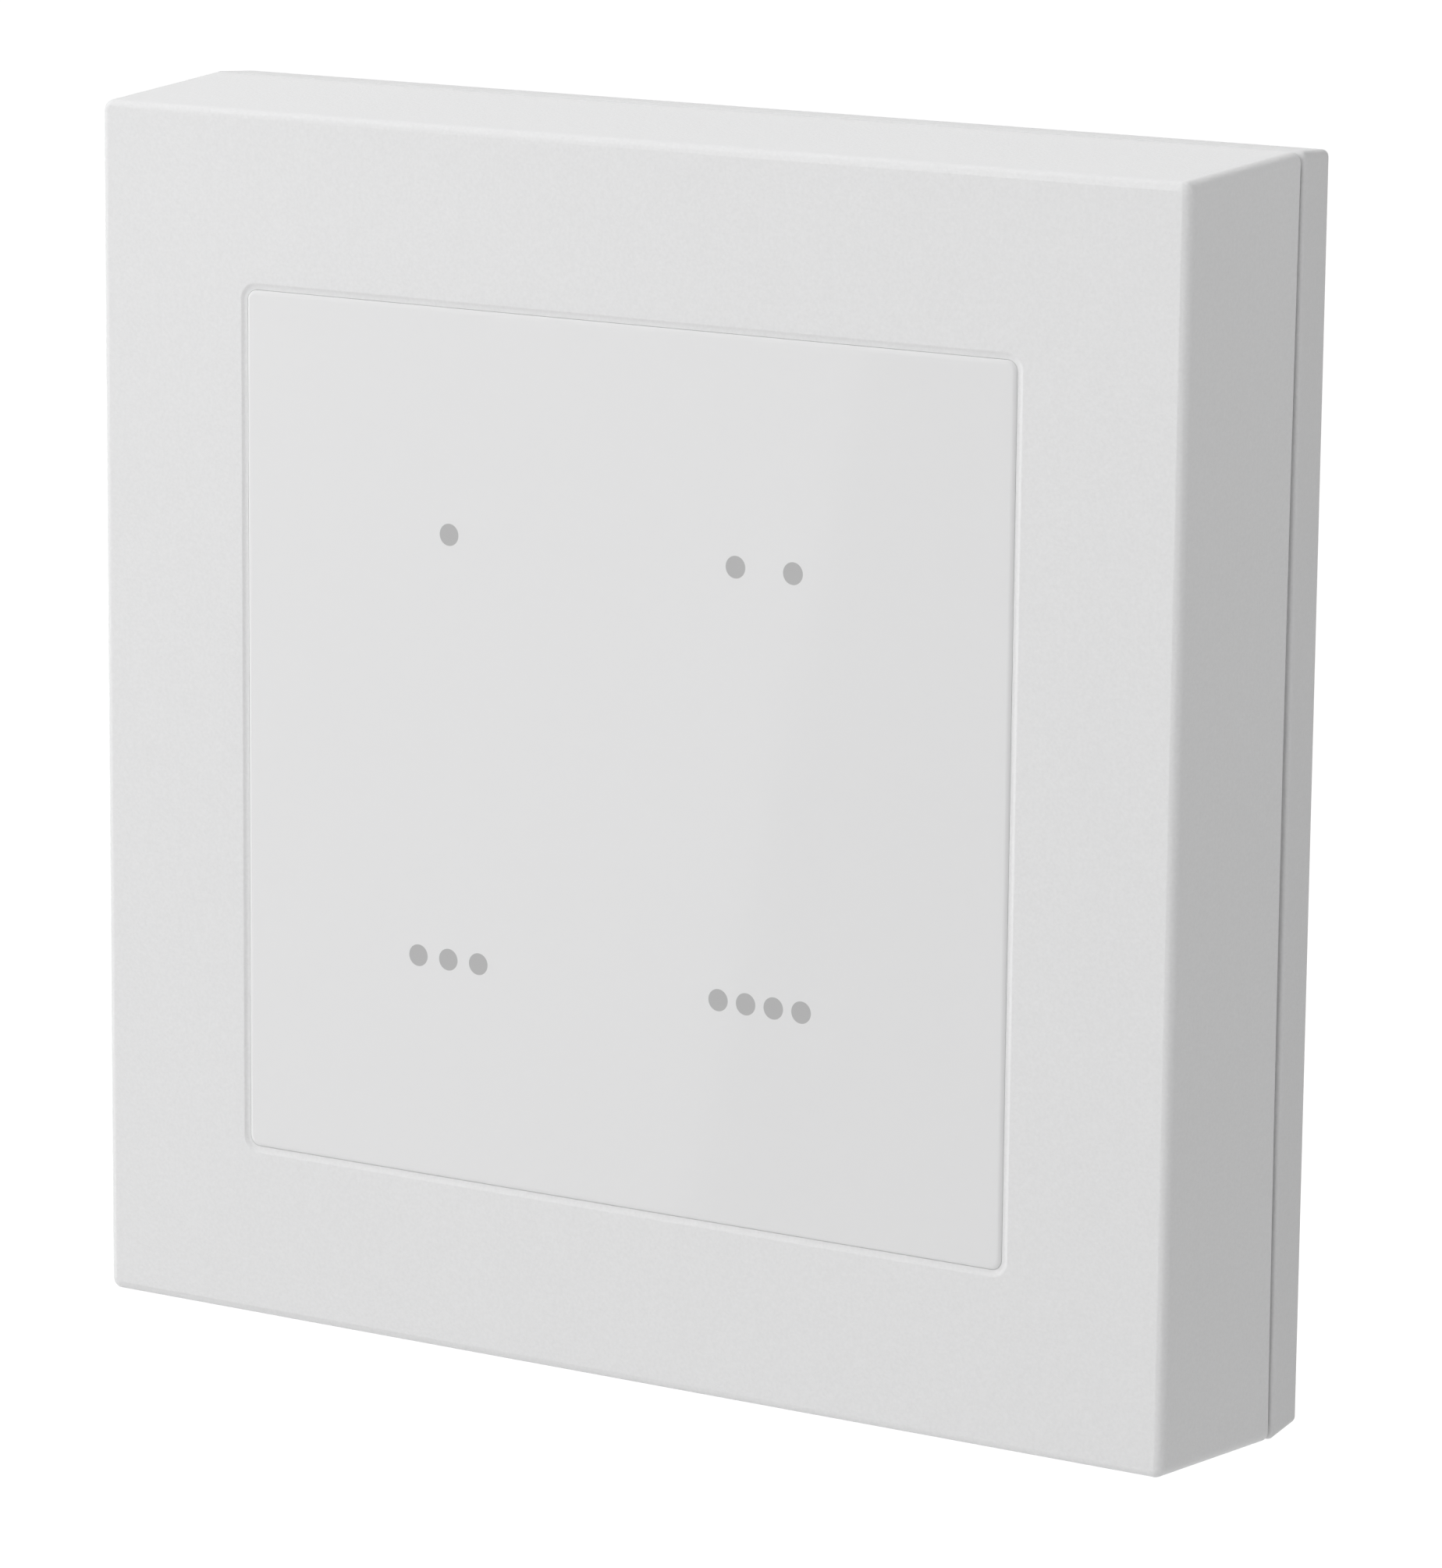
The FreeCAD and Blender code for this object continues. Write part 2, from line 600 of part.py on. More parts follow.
def screw_slot(along_x, side):
    """Through slot for one wall screw: along_x is True for the pair left and right of the centre."""
    at = side * SCREW_SPACING / 2
    reach = (SLOT_L - SLOT_W) / 2
    half = SLOT_W / 2
    start, end = depth_floor - 1, DEPTH + 1
    if along_x:
        middle = box(at - reach, at + reach, start, end, -half, half)
        ends = [disc(at + step * reach, 0, SLOT_W, start, end) for step in (-1, 1)]
    else:
        middle = box(-half, half, start, end, at - reach, at + reach)
        ends = [disc(0, at + step * reach, SLOT_W, start, end) for step in (-1, 1)]
    return fuse(middle, *ends)


def seam_ridge():
    """Square ring on the rim that closes the shadow gap just inside the outer faces."""
    outer = half_seam - SEAM_DEPTH
    inner = outer - RIDGE_T
    front = depth_cover_end + RIDGE_GAP
    ring = slab(outer, outer, RIM_CORNER_R, front, depth_floor)
    return ring.cut(slab(inner, inner, RIM_CORNER_R, front - 1, depth_floor + 1))


def wall_plate():
    """Back plate with a tapered rim, a ridge in the gap, a locating lip, four snap arms and four slots."""
    half_back = half_seam - BASE_TAPER
    rim = frustum(depth_seam, half_seam, DEPTH, half_back)
    sides = [e for e in rim.Edges if e.BoundBox.YLength > BASE_H / 2]
    rim = rim.makeFillet(RIM_CORNER_R, sides)
    rim = rim.makeFillet(RIM_FRONT_R, edges_at_depth(rim, depth_seam))
    rim = rim.makeFillet(RIM_BACK_R, edges_at_depth(rim, DEPTH))
    lip = slab(half_lip, half_lip, 1.0, depth_seam - LIP_H, depth_floor + PLATE_T / 2)
    plate = fuse(rim, lip, seam_ridge())
    hollow = half_lip - LIP_T
    plate = plate.cut(slab(hollow, hollow, 0.6, depth_seam - LIP_H - 1, depth_floor))
    slits = []
    for sx, sz in corners:
        low, high = sx * SNAP_X - SNAP_W / 2, sx * SNAP_X + SNAP_W / 2
        z0, z1 = sz * (hollow - 1), sz * (half_lip + 1)
        slits.append(box(low - SNAP_SLIT, high + SNAP_SLIT, depth_seam - LIP_H - 1, depth_seam, z0, z1))
    plate = cut(plate, slits)
    plate = fuse(plate, *[snap_arm(sx, sz) for sx, sz in corners])
    inner = half_back - BACK_RIM_W
    recess = slab(inner, inner, 3.0, DEPTH - BACK_RECESS, DEPTH + 1)
    at = SCREW_SPACING / 2
    pad_places = ((0, 0), (at, 0), (-at, 0), (0, at), (0, -at))
    pads = [disc(x, z, PAD_D, DEPTH - BACK_RECESS - 1, DEPTH + 2) for x, z in pad_places]
    plate = plate.cut(recess.cut(pads))
    return cut(plate, [screw_slot(along_x, side) for along_x in (True, False) for side in (-1, 1)])


def build():
    """Every sub-part by its name."""
    nodes = {
        "wall_plate": wall_plate(),
        "front_cover": front_cover(),
        "front_panel": front_panel(),
        "panel_marks": panel_marks(),
        "panel_tape": panel_tape(),
        "key_frame": key_frame(),
        "circuit_board": circuit_board(),
        "radio_module": radio_module(),
        "radio_shield": radio_shield(),
        "radio_chip": small_part(0, 0, RADIO_CHIP_W, RADIO_CHIP_W, RADIO_CHIP_T, depth_pcb_front - MODULE_T),
        "antenna_wire": antenna_wire(),
        "controller_chip": small_part(0, CHIP_Z, CHIP_W, CHIP_W, CHIP_T),
        "crystal": small_part(CRYSTAL_AT, CHIP_Z, CRYSTAL_X, CRYSTAL_Z, CRYSTAL_T),
        "capacitors": capacitors(),
        "battery_holder": battery_holder(),
        "negative_contact": negative_contact(),
        "positive_contact": positive_contact(),
        "coin_cell": coin_cell(),
        "assembly_screws": assembly_screws(),
    }
    for number in KEYS:
        nodes[f"key_{number}"] = key(number)
        column, row = key_centre(number)
        for piece in ("housing", "lid", "plunger"):
            nodes[f"switch_{number}_{piece}"] = switch_piece(piece, column, row, depth_pcb_front, -1)
    for piece in ("housing", "lid", "plunger"):
        nodes[f"pairing_{piece}"] = switch_piece(piece, PAIRING_X, PAIRING_Z, depth_pcb_back, 1)
    return nodes


def main():
    os.makedirs("parts", exist_ok=True)
    for name, shape in build().items():
        shape.exportStep(f"parts/{name}.step")
        print(f"{name:18s} solids {len(shape.Solids)}  volume {shape.Volume:9.2f}  valid {shape.isValid()}")
    print(f"depth {DEPTH:.2f}  half width at the seam {half_seam:.3f}")


main()
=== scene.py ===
import math

import bmesh
import bpy
from mathutils import Matrix, Vector


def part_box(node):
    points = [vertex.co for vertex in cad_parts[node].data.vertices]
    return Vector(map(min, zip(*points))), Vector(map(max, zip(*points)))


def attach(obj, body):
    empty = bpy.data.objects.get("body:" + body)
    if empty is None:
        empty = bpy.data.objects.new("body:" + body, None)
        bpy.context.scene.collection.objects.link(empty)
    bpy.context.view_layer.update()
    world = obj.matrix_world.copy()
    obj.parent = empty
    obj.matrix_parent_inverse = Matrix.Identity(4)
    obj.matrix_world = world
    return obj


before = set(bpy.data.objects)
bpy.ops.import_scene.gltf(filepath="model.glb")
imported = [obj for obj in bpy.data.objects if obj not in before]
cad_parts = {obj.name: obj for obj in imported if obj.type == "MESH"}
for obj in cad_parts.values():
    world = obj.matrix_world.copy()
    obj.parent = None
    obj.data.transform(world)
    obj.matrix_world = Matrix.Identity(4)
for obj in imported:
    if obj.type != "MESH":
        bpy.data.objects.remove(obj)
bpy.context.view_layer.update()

MM = 0.001


# Materials: the marks on every surface are made of nodes, and their sizes are real ones

def new_material(name):
    material = bpy.data.materials.new(name)
    material.use_nodes = True
    tree = material.node_tree
    return material, tree, tree.nodes["Principled BSDF"]


def object_coordinates(tree):
    return tree.nodes.new("ShaderNodeTexCoord").outputs["Object"]


def noise(tree, vector, size, detail=2.0, roughness=0.5):
    """Noise whose features are about this many metres across."""
    node = tree.nodes.new("ShaderNodeTexNoise")
    node.inputs["Scale"].default_value = 1.0 / size
    node.inputs["Detail"].default_value = detail
    node.inputs["Roughness"].default_value = roughness
    tree.links.new(vector, node.inputs["Vector"])
    return node.outputs["Fac"]


def remap(tree, value, low, high, source_low=0.3, source_high=0.7):
    """The value spread over a new range; noise lies mostly between the two source values."""
    node = tree.nodes.new("ShaderNodeMapRange")
    node.inputs["From Min"].default_value = source_low
    node.inputs["From Max"].default_value = source_high
    node.inputs["To Min"].default_value = low
    node.inputs["To Max"].default_value = high
    tree.links.new(value, node.inputs["Value"])
    return node.outputs["Result"]


def mix_colour(tree, factor, first, second):
    node = tree.nodes.new("ShaderNodeMix")
    node.data_type = "RGBA"
    node.inputs["A"].default_value = (*first, 1.0)
    node.inputs["B"].default_value = (*second, 1.0)
    tree.links.new(factor, node.inputs["Factor"])
    return node.outputs["Result"]


def wandering_colour(tree, value, darker, colour):
    return mix_colour(tree, remap(tree, value, 0.0, 1.0), darker, colour)


def bump(tree, shader, height, distance, strength=1.0):
    node = tree.nodes.new("ShaderNodeBump")
    node.inputs["Distance"].default_value = distance
    node.inputs["Strength"].default_value = strength
    tree.links.new(height, node.inputs["Height"])
    tree.links.new(node.outputs["Normal"], shader.inputs["Normal"])


def moulded_plastic(name, colour, roughness, grain=0.22 * MM, relief=0.004 * MM, spread=0.006,
                    shade=0.0):
    """Plastic with a spark-eroded grain: fine relief, and colour and roughness that wander.

    The spread is how much darker its broad patches are, and the shade is how much the grain
    itself shows, as a share of the colour.
    """
    patch_size = 18 * MM
    roughness_swing = 0.04
    material, tree, shader = new_material(name)
    place = object_coordinates(tree)
    patches = noise(tree, place, patch_size, 3.0)
    darker = tuple(max(channel - spread, 0.0) for channel in colour)
    fine = noise(tree, place, grain, 3.0, 0.6)
    grained = tree.nodes.new("ShaderNodeVectorMath")
    grained.operation = "SCALE"
    tree.links.new(wandering_colour(tree, patches, darker, colour), grained.inputs["Vector"])
    tree.links.new(remap(tree, fine, 1.0 - shade, 1.0 + shade), grained.inputs["Scale"])
    tree.links.new(grained.outputs["Vector"], shader.inputs["Base Color"])
    haze = remap(tree, fine, roughness - roughness_swing, roughness + roughness_swing)
    tree.links.new(haze, shader.inputs["Roughness"])
    bump(tree, shader, fine, relief)
    return material


def polished_plastic(name, colour, roughness=0.04, spread=0.004):
    """Polished plastic: a faint long wave in the surface and hardly any grain."""
    wave_size = 30 * MM
    wave_height = 0.004 * MM
    haze_size = 4 * MM
    material, tree, shader = new_material(name)
    place = object_coordinates(tree)
    wave = noise(tree, place, wave_size, 1.0)
    darker = tuple(channel - spread for channel in colour)
    tree.links.new(wandering_colour(tree, wave, darker, colour), shader.inputs["Base Color"])
    haze = remap(tree, noise(tree, place, haze_size, 3.0), roughness * 0.8, roughness * 1.3)
    tree.links.new(haze, shader.inputs["Roughness"])
    bump(tree, shader, wave, wave_height)
    return material


def metal(name, colour, roughness, size=0.8 * MM, stretch=(1.0, 1.0, 1.0)):
    """Metal with fine drawn or tinned marks; stretch draws the marks out along an axis."""
    relief = 0.004 * MM
    shading = 0.86
    material, tree, shader = new_material(name)
    shader.inputs["Metallic"].default_value = 1.0
    scaled = tree.nodes.new("ShaderNodeMapping")
    scaled.inputs["Scale"].default_value = stretch
    tree.links.new(object_coordinates(tree), scaled.inputs["Vector"])
    marks = noise(tree, scaled.outputs["Vector"], size, 3.0)
    darker = tuple(channel * shading for channel in colour)
    tree.links.new(wandering_colour(tree, marks, darker, colour), shader.inputs["Base Color"])
    haze = remap(tree, marks, roughness * 0.75, roughness * 1.25)
    tree.links.new(haze, shader.inputs["Roughness"])
    bump(tree, shader, marks, relief)
    return material


def solder_mask(name, mask, resin):
    """Lacquered board; its glass cloth shows faintly, with resin between the threads."""
    threads_per_metre = 900.0
    resin_width = 0.03
    thread_shading = 0.93
    relief = 0.003 * MM
    haze_size = 3 * MM
    material, tree, shader = new_material(name)
    place = object_coordinates(tree)
    weave = tree.nodes.new("ShaderNodeTexBrick")
    weave.inputs["Scale"].default_value = threads_per_metre
    weave.inputs["Mortar Size"].default_value = resin_width
    weave.inputs["Color1"].default_value = (*mask, 1.0)
    weave.inputs["Color2"].default_value = (*(channel * thread_shading for channel in mask), 1.0)
    weave.inputs["Mortar"].default_value = (*resin, 1.0)
    turned = tree.nodes.new("ShaderNodeMapping")
    turned.inputs["Rotation"].default_value = (math.radians(90), 0, 0)
    tree.links.new(place, turned.inputs["Vector"])
    tree.links.new(turned.outputs["Vector"], weave.inputs["Vector"])
    tree.links.new(weave.outputs["Color"], shader.inputs["Base Color"])
    haze = remap(tree, noise(tree, place, haze_size, 2.0), 0.22, 0.34)
    tree.links.new(haze, shader.inputs["Roughness"])
    bump(tree, shader, weave.outputs["Fac"], relief, 0.6)
    return material


# The outside: matt moulded cover and plate, gloss panel, printed pips
WHITE = (0.80, 0.80, 0.803)
# The wall plate's white is a darker copy of the cover's white: painted shade for the plate's rear
# strip, which tilts back, away from the light
PLATE_WHITE_PAINTED_SHADE = (0.735, 0.735, 0.738)
cover_plastic = moulded_plastic("cover_plastic", WHITE, 0.5, relief=0.03 * MM, shade=0.024)
plate_plastic = moulded_plastic("plate_plastic", PLATE_WHITE_PAINTED_SHADE, 0.5, relief=0.03 * MM, shade=0.024)
panel_plastic = polished_plastic("panel_plastic", WHITE)
pip_print = moulded_plastic("pip_print", (0.462, 0.461, 0.463), 0.35, grain=0.12 * MM,
                            relief=0.001 * MM)

# The inside: plastics, lacquered boards and print
frame_plastic = moulded_plastic("frame_plastic", (0.62, 0.62, 0.615), 0.42, grain=0.4 * MM)
key_plastic = moulded_plastic("key_plastic", (0.68, 0.68, 0.67), 0.4, grain=0.4 * MM)
black_plastic = moulded_plastic("black_plastic", (0.022, 0.022, 0.024), 0.45, spread=0.004)
dark_plastic = moulded_plastic("dark_plastic", (0.05, 0.05, 0.055), 0.4)
chip_package = moulded_plastic("chip_package", (0.018, 0.018, 0.02), 0.55, grain=0.1 * MM,
                               spread=0.003)
tape = moulded_plastic("tape", (0.72, 0.72, 0.69), 0.6, grain=0.1 * MM, relief=0.001 * MM)
capacitor_body = moulded_plastic("capacitor_body", (0.34, 0.22, 0.12), 0.5, grain=0.2 * MM)
board = solder_mask("board", (0.008, 0.085, 0.03), (0.012, 0.102, 0.037))
module_board = solder_mask("module_board", (0.006, 0.03, 0.05), (0.009, 0.037, 0.06))
ink = moulded_plastic("ink", (0.7, 0.7, 0.68), 0.6, grain=0.1 * MM, relief=0.001 * MM)

# The inside: metals, with the marks of the drawn ones stretched along X
tinned = metal("tinned", (0.62, 0.62, 0.61), 0.32)
contact_metal = metal("contact_metal", (0.66, 0.63, 0.55), 0.26, 0.6 * MM, (0.2, 1.0, 1.0))
cell_metal = metal("cell_metal", (0.7, 0.7, 0.69), 0.2, 0.7 * MM)
screw_metal = metal("screw_metal", (0.56, 0.57, 0.58), 0.3, 0.5 * MM)
antenna_metal = metal("antenna_metal", (0.66, 0.55, 0.34), 0.28, 0.5 * MM, (0.3, 1.0, 1.0))
solder = metal("solder", (0.7, 0.7, 0.71), 0.24, 0.3 * MM)
gold = metal("gold", (0.78, 0.58, 0.27), 0.3, 0.4 * MM)

MATERIALS = {
    "wall_plate": plate_plastic,
    "front_cover": cover_plastic,
    "front_panel": panel_plastic,
    "panel_marks": pip_print,
    "panel_tape": tape,
    "key_frame": frame_plastic,
    "circuit_board": board,
    "radio_module": module_board,
    "radio_shield": tinned,
    "radio_chip": chip_package,
    "antenna_wire": antenna_metal,
    "controller_chip": chip_package,
    "crystal": tinned,
    "capacitors": capacitor_body,
    "battery_holder": dark_plastic,
    "negative_contact": contact_metal,
    "positive_contact": contact_metal,
    "coin_cell": cell_metal,
    "assembly_screws": screw_metal,
}
KEY_SWITCHES = ("switch_1", "switch_2", "switch_3", "switch_4")
for switch in (*KEY_SWITCHES, "pairing"):
    MATERIALS[f"{switch}_housing"] = black_plastic
    MATERIALS[f"{switch}_lid"] = tinned
    MATERIALS[f"{switch}_plunger"] = dark_plastic
for number in (1, 2, 3, 4):
    MATERIALS[f"key_{number}"] = key_plastic

for name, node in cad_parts.items():
    for slot in range(len(node.material_slots)):
        node.material_slots[slot].material = MATERIALS[name]


# Small details on the two faces of the circuit board, on the coin cell and on the wall plate

FRONT = -1
BACK = 1
BOARD_LOW, BOARD_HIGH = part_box("circuit_board")
BOARD_FACE = {FRONT: BOARD_LOW.y, BACK: BOARD_HIGH.y}
INK_T = 0.02 * MM
INK_ROUNDING = INK_T / 4


def in_mm(*pairs):
    return [(first * MM, second * MM) for first, second in pairs]


def add_piece(name, body, material, shape):
    """Turns a finished bmesh into a piece that rides on a body."""
    bmesh.ops.recalc_face_normals(shape, faces=shape.faces)
    mesh = bpy.data.meshes.new(name)
    shape.to_mesh(mesh)
    shape.free()
    for face in mesh.polygons:
        face.use_smooth = True
    mesh.set_sharp_from_angle(angle=math.radians(35))
    mesh.materials.append(material)
    piece = bpy.data.objects.new(name, mesh)
    bpy.context.scene.collection.objects.link(piece)
    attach(piece, body)


def add_block(shape, centre, size, rounding):
    """Block with rounded edges."""
    corners = bmesh.ops.create_cube(shape, size=1.0)["verts"]
    bmesh.ops.scale(shape, vec=size, verts=corners)
    bmesh.ops.translate(shape, vec=centre, verts=corners)
    edges = list({edge for corner in corners for edge in corner.link_edges})
    bmesh.ops.bevel(shape, geom=edges, offset=rounding, segments=2, profile=0.5, affect="EDGES")


def add_ring(shape, x, z, y, radius_x, radius_z, steps):
    """Ring of points in a plane square to Y."""
    turns = [2 * math.pi * step / steps for step in range(steps)]
    return [shape.verts.new((x + radius_x * math.cos(turn), y, z + radius_z * math.sin(turn)))
            for turn in turns]


def join_rings(shape, first, second):
    for step in range(len(first)):
        shape.faces.new((first[step - 1], first[step], second[step], second[step - 1]))


def add_turned(shape, x, z, base, facing, profile, stretch=(1.0, 1.0), steps=28):
    """Closed turned form on a face square to Y, from (radius, height) pairs that start there."""
    rings = [add_ring(shape, x, z, base + facing * height, stretch[0] * radius,
                      stretch[1] * radius, steps) for radius, height in profile]
    for lower, upper in zip(rings, rings[1:]):
        join_rings(shape, lower, upper)
    shape.faces.new(rings[0])
    shape.faces.new(rings[-1])


def add_solder(shape, x, z, facing, radius, height, stretch=(1.0, 1.0)):
    """Mound of solder that climbs a pin in a hollow curve."""
    curve = ((1.0, 0.0), (0.93, 0.1), (0.62, 0.34), (0.42, 0.68), (0.33, 0.92), (0.2, 1.0))
    profile = [(radius * reach, height * rise) for reach, rise in curve]
    add_turned(shape, x, z, BOARD_FACE[facing], facing, profile, stretch)


def add_lead(shape, start, out, facing, line, width, thickness):
    """Bent strip lead: line holds (outward, height) pairs, and out is outward in X and Z."""
    sides = []
    for index, (reach, height) in enumerate(line):
        before = line[max(index - 1, 0)]
        after = line[min(index + 1, len(line) - 1)]
        along = Vector((after[0] - before[0], after[1] - before[1])).normalized()
        for half in (-thickness / 2, thickness / 2):
            sides.append((reach - along.y * half, height + along.x * half))
    rows = []
    for across in (-width / 2, width / 2):
        rows.append([shape.verts.new((start[0] + out[0] * reach + abs(out[1]) * across,
                                      BOARD_FACE[facing] + facing * height,
                                      start[1] + out[1] * reach + abs(out[0]) * across))
                     for reach, height in sides])
    near, far = rows
    for index in range(0, len(sides) - 2, 2):
        a, b, c, d = index, index + 1, index + 3, index + 2
        shape.faces.new((near[a], near[b], near[c], near[d]))
        shape.faces.new((far[a], far[b], far[c], far[d]))
        shape.faces.new((near[a], near[d], far[d], far[a]))
        shape.faces.new((near[b], near[c], far[c], far[b]))
    for index in (0, len(sides) - 2):
        shape.faces.new((near[index], near[index + 1], far[index + 1], far[index]))


def add_ink_frame(shape, low_x, high_x, low_z, high_z, facing, line=0.18 * MM):
    """Printed outline of a part on the board."""
    y = BOARD_FACE[facing] + facing * INK_T / 2
    middle_x, middle_z = (low_x + high_x) / 2, (low_z + high_z) / 2
    for z in (low_z, high_z):
        add_block(shape, (middle_x, y, z), (high_x - low_x + line, INK_T, line), INK_ROUNDING)
    for x in (low_x, high_x):
        add_block(shape, (x, y, middle_z), (line, INK_T, high_z - low_z + line), INK_ROUNDING)


def add_cross(shape, x, y, z, size, height, line, rounding):
    """Plus sign with level and upright bars."""
    add_block(shape, (x, y, z), (size, height, line), rounding)
    add_block(shape, (x, y, z), (line, height, size), rounding)


def switch_leads():
    """Four bent legs on each button switch, soldered to the board."""
    leg_line = in_mm((-0.1, 1.0), (0.22, 1.0), (0.34, 0.86), (0.38, 0.24), (0.5, 0.12),
                     (1.25, 0.12))
    leg_width, leg_thickness = 0.7 * MM, 0.18 * MM
    leg_offset = 2.25 * MM
    mound_reach = 0.95 * MM
    mound_radius, mound_height = 0.6 * MM, 0.16 * MM
    legs = bmesh.new()
    mounds = bmesh.new()
    for name, facing in [(name, FRONT) for name in KEY_SWITCHES] + [("pairing", BACK)]:
        low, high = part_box(f"{name}_housing")
        centre = (low + high) / 2
        for side, edge in ((-1, low.x), (1, high.x)):
            for row in (-1, 1):
                z = centre.z + row * leg_offset
                add_lead(legs, (edge, z), (side, 0), facing, leg_line, leg_width, leg_thickness)
                add_solder(mounds, edge + side * mound_reach, z, facing, mound_radius,
                           mound_height, (1.0, 0.9))
    add_piece("switch_legs", "front_unit", tinned, legs)
    add_piece("switch_solder", "front_unit", solder, mounds)


def chip_leads():
    """Gull-wing leads on all four sides of the controller."""
    leads_per_side = 8
    pitch = 0.75 * MM
    lead_line = in_mm((-0.06, 0.5), (0.22, 0.5), (0.42, 0.1), (0.5, 0.07), (0.95, 0.07))
    lead_width, lead_thickness = 0.32 * MM, 0.12 * MM
    low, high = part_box("controller_chip")
    centre = (low + high) / 2
    half = (high.x - low.x) / 2
    leads = bmesh.new()
    for out in ((-1, 0), (1, 0), (0, -1), (0, 1)):
        for step in range(leads_per_side):
            across = (step - (leads_per_side - 1) / 2) * pitch
            start = (centre.x + out[0] * half + abs(out[1]) * across,
                     centre.z + out[1] * half + abs(out[0]) * across)
            add_lead(leads, start, out, FRONT, lead_line, lead_width, lead_thickness)
    add_piece("controller_leads", "front_unit", tinned, leads)


def module_pads():
    """Plated pads along two edges of the radio's small board."""
    pads_per_side = 11
    pitch = 1.4 * MM
    pad_x, pad_z = 0.9 * MM, 0.8 * MM
    pad_rise = 0.04 * MM
    rounding = 0.12 * MM
    low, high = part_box("radio_module")
    y = (low.y + high.y) / 2 - pad_rise / 4
    pads = bmesh.new()
    for x in (low.x, high.x):
        for step in range(pads_per_side):
            z = (low.z + high.z) / 2 + (step - (pads_per_side - 1) / 2) * pitch
            add_block(pads, (x, y, z), (pad_x, high.y - low.y + pad_rise, pad_z), rounding)
    add_piece("module_pads", "front_unit", gold, pads)


def capacitor_ends():
    """Tinned ends of the capacitors, and the two pads of the crystal."""
    capacitors = 4
    capacitor_length = 2.0 * MM
    cap_width, cap_rise, cap_rounding = 0.42 * MM, 0.03 * MM, 0.1 * MM
    pad_width, pad_thickness, pad_rounding = 0.5 * MM, 0.16 * MM, 0.05 * MM
    pad_depth = 0.07 * MM
    pad_margin = 0.25 * MM
    ends = bmesh.new()
    low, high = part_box("capacitors")
    pitch = (high.x - low.x - capacitor_length) / (capacitors - 1)
    y, z = (low.y + high.y) / 2, (low.z + high.z) / 2
    size = (cap_width, high.y - low.y + cap_rise, high.z - low.z + cap_rise)
    for step in range(capacitors):
        for side in (0.0, capacitor_length):
            add_block(ends, (low.x + pitch * step + side, y, z), size, cap_rounding)
    low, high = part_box("crystal")
    y, z = high.y - pad_depth, (low.z + high.z) / 2
    size = (pad_width, pad_thickness, high.z - low.z - 2 * pad_margin)
    for x in (low.x, high.x):
        add_block(ends, (x, y, z), size, pad_rounding)
    add_piece("capacitor_ends", "front_unit", tinned, ends)


def board_solder():
    """Joints of the cell's clip and of the antenna's feet."""
    radius, height = 1.0 * MM, 0.7 * MM
    front_radius, front_height = 0.9 * MM, 0.5 * MM
    clip_stretch = (2.9, 0.9)
    clip_gap = 0.25 * MM
    foot_inset = 0.4 * MM
    mounds = bmesh.new()
    low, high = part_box("positive_contact")
    for side, z in ((-1, low.z), (1, high.z)):
        add_solder(mounds, (low.x + high.x) / 2, z + side * clip_gap, BACK, radius, height,
                   clip_stretch)
    low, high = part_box("antenna_wire")
    z = (low.z + high.z) / 2
    for x in (low.x + foot_inset, high.x - foot_inset):
        add_solder(mounds, x, z, BACK, radius, height)
        add_solder(mounds, x, z, FRONT, front_radius, front_height)
    add_piece("board_solder", "front_unit", solder, mounds)


def board_pads():
    """Row of gold test pads and scattered plated holes on the back of the board.

    Places and pitches are in millimetres. The sways and beats move the holes off their grid.
    """
    test_pads = 6
    test_pitch = 2.6
    test_x, test_z = -27.0, -18.0
    test_profile = in_mm((0.7, 0.0), (0.7, 0.02), (0.66, 0.035), (0.1, 0.035))
    holes = 22
    hole_columns = 5
    column_pitch = 14.0
    holes_x, holes_z, holes_reach = -30.0, -31.0, 62.0
    sway_x, sway_z = 2.3, 1.7
    beat_x, beat_z = 2.1, 3.3
    hole_profile = in_mm((0.34, 0.0), (0.34, 0.012), (0.28, 0.025), (0.14, 0.012))
    pads = bmesh.new()
    for step in range(test_pads):
        add_turned(pads, (test_x + test_pitch * step) * MM, test_z * MM, BOARD_FACE[BACK], BACK,
                   test_profile)
    for step in range(holes):
        x = holes_x + column_pitch * (step % hole_columns) + sway_x * math.sin(step * beat_x)
        z = holes_z + holes_reach * step / (holes - 1) + sway_z * math.cos(step * beat_z)
        add_turned(pads, x * MM, z * MM, BOARD_FACE[BACK], BACK, hole_profile, steps=16)
    add_piece("board_pads", "front_unit", gold, pads)


def board_print():
    """Printed outlines round the parts, with a plus beside the cell's clip."""
    narrow, wide = 0.6 * MM, 1.5 * MM
    plus_size, plus_line = 2.0 * MM, 0.3 * MM
    plus_x, plus_z = 5.0 * MM, 2.6 * MM
    marks = bmesh.new()
    for name, facing, margin in (("controller_chip", FRONT, wide), ("radio_module", FRONT, narrow),
                                 ("crystal", FRONT, narrow), ("battery_holder", BACK, narrow),
                                 ("pairing_housing", BACK, wide)):
        low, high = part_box(name)
        add_ink_frame(marks, low.x - margin, high.x + margin, low.z - margin, high.z + margin,
                      facing)
    low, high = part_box("positive_contact")
    add_cross(marks, (low.x + high.x) / 2 + plus_x, BOARD_FACE[BACK] + BACK * INK_T / 2,
              high.z + plus_z, plus_size, INK_T, plus_line, INK_ROUNDING)
    add_piece("board_print", "front_unit", ink, marks)


